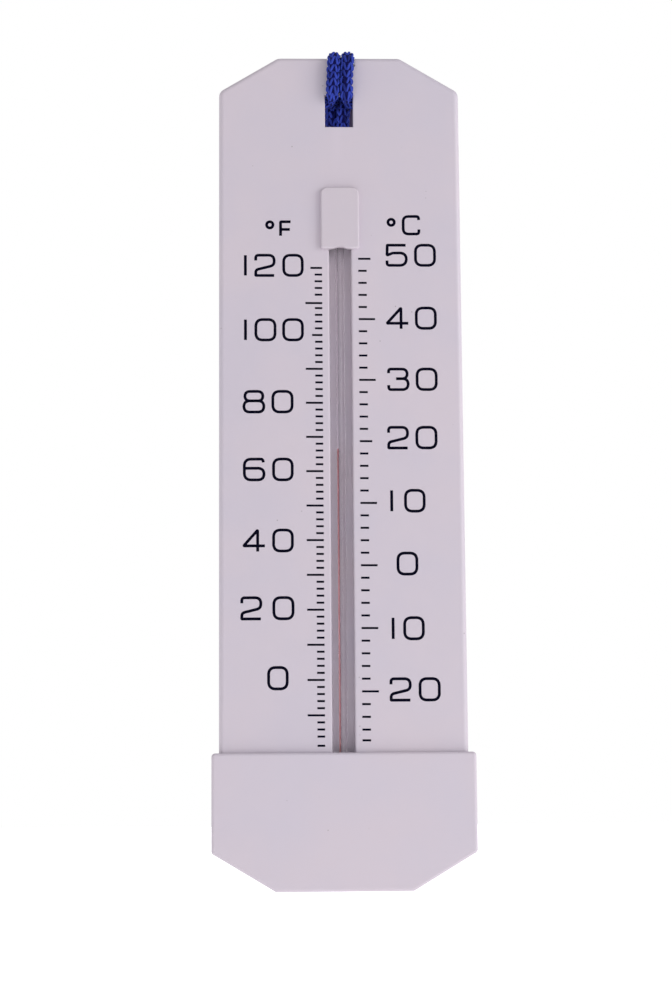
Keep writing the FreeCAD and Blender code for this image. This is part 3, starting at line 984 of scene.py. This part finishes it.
def glyphStrokes(sign, w, h, corner):
    # the pen's lines for one numeral in a box w wide and h high: (points, corner radii, closed)
    c = min(corner, w / 2, h / 2)
    strokes = {
        "0": [([(0, 0), (w, 0), (w, h), (0, h)], c, True)],
        "1": [([(0, 0), (0, h)], 0, False)],
        "2": [([(0, h * 0.74), (0, h), (w, h), (w, h * 0.50), (0, h * 0.28), (0, 0), (w, 0)],
               [0, c * 0.9, c * 1.05, c * 0.75, c * 0.55, 0.15, 0], False)],
        "3": [([(0, h * 0.80), (0, h), (w * 0.95, h), (w * 0.95, h * 0.53), (w * 0.38, h * 0.53)],
               [0, c * 0.8, c * 0.85, c * 0.75, 0], False),
              ([(w * 0.38, h * 0.53), (w, h * 0.53), (w, 0), (0, 0), (0, h * 0.22)],
               [0, c * 0.85, c, c * 0.8, 0], False)],
        "4": [([(w * 0.66, -0.02 * h), (w * 0.66, h), (0, h * 0.25), (w, h * 0.25)],
               [0, 0.12, 0.12, 0], False)],
        "5": [([(w * 0.97, h), (0.02 * w, h), (0, h * 0.50), (w * 0.3, h * 0.61), (w, h * 0.62),
                (w, 0), (0, 0), (0, h * 0.24)], [0, 0.12, 0.2, 1.2, c * 1.1, c, c * 0.8, 0], False)],
        "6": [([(w * 0.97, h * 0.84), (w * 0.93, h), (0, h), (0, 0), (w, 0), (w, h * 0.56), (0, h * 0.56)],
               [0, 0.9, c, c, c * 0.95, c * 0.9, 0], False)],
        "8": [([(w * 0.05, h), (w * 0.95, h), (w * 0.95, h * 0.54), (w * 0.05, h * 0.54)], c * 0.8, True),
              ([(0, h * 0.54), (w, h * 0.54), (w, 0), (0, 0)], c * 0.85, True)],
        "C": [([(w, h * 0.80), (w * 0.97, h), (0, h), (0, 0), (w, 0), (w, h * 0.26)],
               [0, 1.0, c, c, c * 0.9, 0], False)],
        "F": [([(0, 0), (0, h), (w, h)], [0, 0.3, 0], False),
              ([(0, h * 0.45), (w * 0.92, h * 0.45)], 0, False)],
    }
    return strokes[sign]


def roundedStroke(points, radii, closed):
    # a pen line with its corners rounded
    count = len(points)
    if not isinstance(radii, list):
        radii = [radii] * count
    line = []
    for i, (x, z) in enumerate(points):
        if not closed and i in (0, count - 1) or radii[i] <= 0:
            line.append((x, z))
            continue
        here = Vector((x, z))
        back = Vector(points[i - 1]) - here
        ahead = Vector(points[(i + 1) % count]) - here
        half = back.angle(ahead) / 2
        trim = min(radii[i] / math.tan(half), back.length * 0.499, ahead.length * 0.499)
        start, end = here + back.normalized() * trim, here + ahead.normalized() * trim
        steps = 7
        for k in range(steps + 1):
            t = k / steps
            bend = here * 0.9 + (start + end) * 0.05
            line.append(tuple((1 - t) ** 2 * start + 2 * t * (1 - t) * bend + t * t * end))
    return line


def penLine(name, lines, width, rise):
    # ink laid along pen lines on the plate's face: a low rounded bead
    curve = bpy.data.curves.new(name, "CURVE")
    curve.dimensions = "3D"
    curve.bevel_depth = width / 2 * mm
    curve.bevel_resolution = 2
    curve.use_fill_caps = True
    for points, closed in lines:
        spline = curve.splines.new("POLY")
        spline.points.add(len(points) - 1)
        for point, (x, z) in zip(spline.points, points):
            point.co = (x * mm, 0, z * mm, 1)
        spline.use_cyclic_u = closed
    obj = bpy.data.objects.new(name, curve)
    scene.collection.objects.link(obj)
    activate(obj)
    bpy.ops.object.convert(target="MESH")
    obj = bpy.context.object
    obj.scale = (1, rise / (width / 2), 1)
    obj.location = (0, faceY * mm, 0)
    bakePlace(obj)
    return obj


def numeralLines(sign, left, right, middle, height, stroke, corner):
    w, h = max(right - left - stroke, 0), height - stroke
    x, z = left + stroke / 2, middle - h / 2
    lines = []
    for points, radii, closed in glyphStrokes(sign, w, h, corner):
        line = roundedStroke(points, radii, closed)
        lines.append(([(x + a, z + b) for a, b in line], closed))
    return lines


def ringLine(x, z, radius, count=24):
    turns = [2 * math.pi * i / count for i in range(count)]
    return ([(x + radius * math.cos(t), z + radius * math.sin(t)) for t in turns], True)


def tickLines(table, style):
    # the long and short marks of one side as pen lines
    lines = []
    for mark in table["marks"]:
        z = table["zero"] + table["degree"] * mark + table["shift"].get(mark, 0)
        length = table["odd"].get(mark, table["short"] if mark % 10 else table["long"])
        ends = (style["tickStart"] * table["side"], (style["tickStart"] + length) * table["side"])
        lines.append(([(min(ends), z), (max(ends), z - style["tickSlope"] * length)], False))
    return lines


def printNumerals(name, table, letter, style):
    stroke = style["stroke"]
    lines = []
    for sign, left, right, middle in table:
        lines += numeralLines(sign, left, right, middle, style["height"], stroke, style["corner"])
    sign, left, right, middle, height, ringX, ringZ = letter
    lines += numeralLines(sign, left, right, middle, height, stroke, style["letterCorner"])
    lines.append(ringLine(ringX, ringZ, style["ring"] - stroke / 2))
    return penLine(name, lines, stroke, style["rise"])


inkPieces = [
    penLine(f"ticks_{name}", tickLines(table, printStyle), printStyle["tickStroke"], printStyle["rise"])
    for name, table in tickTables.items()
]
# the letter's sign, left, right, middle height and height, then the middle of its degree ring
inkPieces += [
    printNumerals("numerals_celsius", celsiusNumerals,
                  ("C", 18.7, 24.3, -40.8, 6.3, 15.5, -39.9), printStyle),
    printNumerals("numerals_fahrenheit", fahrenheitNumerals,
                  ("F", -18.3, -14.4, -41.9, 5.2, -21.1, -40.7), printStyle),
]

inkLook = {
    "toneA": srgb(2, 2, 18),
    "toneB": srgb(8, 9, 34),
    "roughness": (0.42, 0.62),
    "specular": 0.03,
}


def inkMaterial(name, look):
    material, tree, shader = newMaterial(name)
    link = tree.links.new
    place = addNode(tree, "ShaderNodeTexCoord", (-900, 0))
    grain = noiseNode(tree, (-700, 0), 1500, 3)
    spread = rangeNode(tree, (-500, 0), (0.35, 0.72))
    shade = tonesNode(tree, (-250, 0), look["toneA"], look["toneB"])
    rough = rangeNode(tree, (-250, -220), (0, 1), look["roughness"])
    link(place.outputs["Object"], grain.inputs["Vector"])
    link(grain.outputs["Fac"], spread.inputs["Value"])
    link(spread.outputs["Result"], shade.inputs["Factor"])
    link(grain.outputs["Fac"], rough.inputs["Value"])
    link(shade.outputs["Result"], shader.inputs["Base Color"])
    link(rough.outputs["Result"], shader.inputs["Roughness"])
    shader.inputs["Specular IOR Level"].default_value = look["specular"]
    return material


ink = inkMaterial("scale_ink_look", inkLook)
for piece in inkPieces:
    dress(piece, ink)
    shadeSmooth(piece)
    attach(piece, "root")
print("scales printed")


# floor, painted-shade card behind the slot, lamps

stageStyle = {
    "floorBelow": 0.02,  # m
    "floorGlow": 0.5,
    "floorShine": 0.5,  # more of it to the eye, so that it meets the white behind
    "floorTones": ((0.97, 0.97, 0.97, 1), (0.95, 0.95, 0.95, 1)),
    # painted shade: a grey card behind the slot
    "shadeCard": {"size": 0.014, "place": (0, 0.0012, -0.0032), "tone": srgb(120, 112, 130)},
    "worldFill": 0.47,
    "lampsAim": (0, -0.01, -0.12),
    "lamps": {  # place, size and watts of each soft box
        "keyRight": ((1.26, -0.80, 0.16), (0.8, 0.8), 7.2),
        "edgeRight": ((0.75, 0.22, -0.10), (0.3, 0.8), 0.8),
        "edgeLeft": ((-0.75, 0.22, -0.10), (0.3, 0.8), 0.8),
        "frontLow": ((0.10, -0.95, -0.25), (0.5, 0.5), 0.25),
    },
}


def makeStage(style):
    bpy.ops.mesh.primitive_plane_add(size=3, location=(0, 0, cadBox[0][2] - style["floorBelow"]))
    floor = bpy.context.object
    floor.name = "paleFloor"
    material, tree, shader = newMaterial("paleFloorLook")
    grain = noiseNode(tree, (-500, 0), 30)
    tint = tonesNode(tree, (-200, 0), *style["floorTones"])
    tree.links.new(grain.outputs["Fac"], tint.inputs["Factor"])
    tree.links.new(tint.outputs["Result"], shader.inputs["Base Color"])
    shader.inputs["Roughness"].default_value = 0.9
    shader.inputs["Emission Color"].default_value = (1, 1, 1, 1)
    path = addNode(tree, "ShaderNodeLightPath", (-500, -300))
    glow = addNode(tree, "ShaderNodeMath", (-200, -300), operation="MULTIPLY_ADD")
    glow.inputs[1].default_value, glow.inputs[2].default_value = style["floorShine"], style["floorGlow"]
    tree.links.new(path.outputs["Is Camera Ray"], glow.inputs[0])
    tree.links.new(glow.outputs["Value"], shader.inputs["Emission Strength"])
    dress(floor, material)
    # painted shade: a small grey card behind the slot, seen only through the slot from the front and clear
    # from behind, stands for the shade in the slot
    upright = (math.pi / 2, 0, 0)
    patch = style["shadeCard"]
    bpy.ops.mesh.primitive_plane_add(size=patch["size"], location=patch["place"], rotation=upright)
    shadeCard = bpy.context.object
    shadeCard.name = "slotShadeCard"
    material, tree, shader = newMaterial("slotShadeCardLook")
    shader.inputs["Base Color"].default_value = patch["tone"]
    shader.inputs["Roughness"].default_value = 0.9
    side = addNode(tree, "ShaderNodeNewGeometry", (100, 420))
    clearWhere(tree, shader, side.outputs["Backfacing"])
    dress(shadeCard, material)


def makeWorld(style):
    world = bpy.data.worlds.new("studioWorld")
    scene.world = world
    world.use_nodes = True
    tree = world.node_tree
    tree.nodes.clear()
    output = addNode(tree, "ShaderNodeOutputWorld", (400, 0))
    seen = addNode(tree, "ShaderNodeBackground", (0, 120))
    seen.inputs["Color"].default_value, seen.inputs["Strength"].default_value = (1, 1, 1, 1), 1.0
    fill = addNode(tree, "ShaderNodeBackground", (0, -80))
    fill.inputs["Color"].default_value = (0.97, 0.97, 1, 1)
    fill.inputs["Strength"].default_value = style["worldFill"]
    path = addNode(tree, "ShaderNodeLightPath", (-200, 300))
    both = addNode(tree, "ShaderNodeMixShader", (200, 0))
    tree.links.new(path.outputs["Is Camera Ray"], both.inputs["Fac"])
    tree.links.new(fill.outputs["Background"], both.inputs[1])
    tree.links.new(seen.outputs["Background"], both.inputs[2])
    tree.links.new(both.outputs["Shader"], output.inputs["Surface"])


def softBox(name, place, aim, size, power):
    bpy.ops.object.light_add(type="AREA", location=place)
    lamp = bpy.context.object
    lamp.name = name
    lamp.data.shape = "RECTANGLE"
    lamp.data.size, lamp.data.size_y = size
    lamp.data.energy = power
    lamp.rotation_euler = (Vector(aim) - Vector(place)).to_track_quat("-Z", "Y").to_euler()
    lamp.visible_camera = False


makeStage(stageStyle)
makeWorld(stageStyle)
for name, (place, size, power) in stageStyle["lamps"].items():
    softBox(name, place, stageStyle["lampsAim"], size, power)
print("stage and lamps made")
